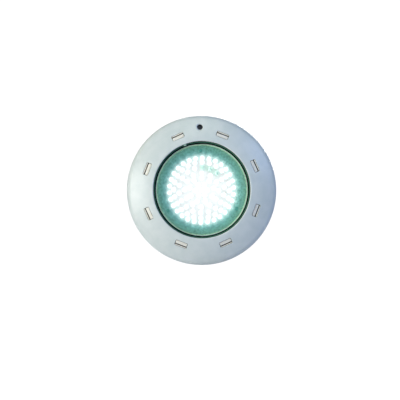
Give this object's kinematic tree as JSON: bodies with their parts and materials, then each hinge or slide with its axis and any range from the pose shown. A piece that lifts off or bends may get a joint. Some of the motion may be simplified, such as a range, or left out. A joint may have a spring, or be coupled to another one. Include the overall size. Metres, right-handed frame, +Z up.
{
  "type": "underwater pool light",
  "caption": "Round wall-hung underwater pool light: domed face ring with snap windows, clear lens over rings of LED lamps, rear housing with cable gland, hinged on a wall bracket.",
  "frame": {"origin": "centre of the wall bracket's back face, on the wall, on the light's own axis", "axes": "+Z up along the wall, -Y out of the wall and out of the light's front, +X to the right as seen from the pool"},
  "size_m": [0.29, 0.065, 0.29],
  "materials": {
    "white_abs": "satin moulded, faintly green white",
    "cream_abs": "satin moulded cream",
    "black_nylon": "dark glass-filled nylon",
    "grey_nylon": "moulded nylon",
    "rubber": "dark green-black moulded rubber",
    "grey_silicone": "soft thermal pad",
    "clear_glass": "clear toughened glass",
    "led_lit": "clear epoxy lamps, lit cool white",
    "led_dark": "clear epoxy lamps, unlit",
    "white_board": "white solder mask",
    "green_board": "green solder mask",
    "green_trim": "pale sage green, finely textured",
    "green_terminal": "moulded terminal block",
    "dark_core": "ferrite",
    "black_epoxy": "moulded epoxy",
    "can_aluminium": "drawn can",
    "aluminium": "milled plate",
    "brass": "turned",
    "stainless_steel": "turned and brushed"
  },
  "bodies": {
    "bracket": {"wall_bracket": "white_abs", "bracket_insert": "brass"},
    "washer": {"screw_washer": "stainless_steel"},
    "lock_screw": {"lock_screw": "stainless_steel"},
    "gland_thrust": {"gland_ferrule": "grey_nylon"},
    "gland_nut": {"gland_nut": "grey_nylon"},
    "lamp_unit": {"rear_housing": "white_abs", "lens_gasket": "rubber", "lens": "clear_glass", "clamp_ring": "black_nylon", "clamp_screws": "stainless_steel", "face_ring": "white_abs", "screw_sleeve": "white_abs", "snap_hooks": "cream_abs", "heat_sink": "aluminium", "thermal_pad": "grey_silicone", "led_board": "white_board", "leds_outer": "led_lit", "leds_second": "led_lit", "leds_third": "led_lit", "leds_unlit": "led_dark", "leds_fourth": "led_lit", "leds_fifth": "led_lit", "leds_sixth": "led_lit", "led_centre": "led_lit", "trim_ring": "green_trim", "trim_rivets": "green_trim", "standoffs": "brass", "board_screws": "stainless_steel", "driver_board": "green_board", "driver_inductor": "dark_core", "driver_rectifier": "black_epoxy", "terminal_block": "green_terminal", "driver_capacitors": "can_aluminium", "link_pins": "brass", "gland_body": "grey_nylon", "gland_locknut": "grey_nylon", "gland_oring": "rubber", "gland_seal": "rubber", "pivot_pin": "stainless_steel", "pin_clips": "stainless_steel"}
  },
  "joints": [
    {"name": "tilt_out", "type": "hinge", "parent": "bracket", "child": "lamp_unit", "pos_m": [0, -0.015, -0.116], "axis": [1, 0, 0], "range_deg": [0, 12]},
    {"name": "screw_travel", "type": "slide", "parent": "lamp_unit", "child": "washer", "axis": [0, -1, 0], "range_m": [0, 0.012]},
    {"name": "screw_turn", "type": "hinge", "parent": "washer", "child": "lock_screw", "pos_m": [0, -0.028, 0.121], "axis": [0, -1, 0], "range_deg": [0, 4320]},
    {"name": "gland_travel", "type": "slide", "parent": "lamp_unit", "child": "gland_thrust", "axis": [0, 1, 0], "range_m": [0, 0.004]},
    {"name": "gland_turn", "type": "hinge", "parent": "gland_thrust", "child": "gland_nut", "pos_m": [0, -0.01, 0], "axis": [0, 1, 0], "range_deg": [0, 960]}
  ],
  "couplings": [
    {"joint": "screw_turn", "follows": "screw_travel", "rad_per_m": 6283.2},
    {"joint": "gland_turn", "follows": "gland_travel", "rad_per_m": 4188.8}
  ]
}
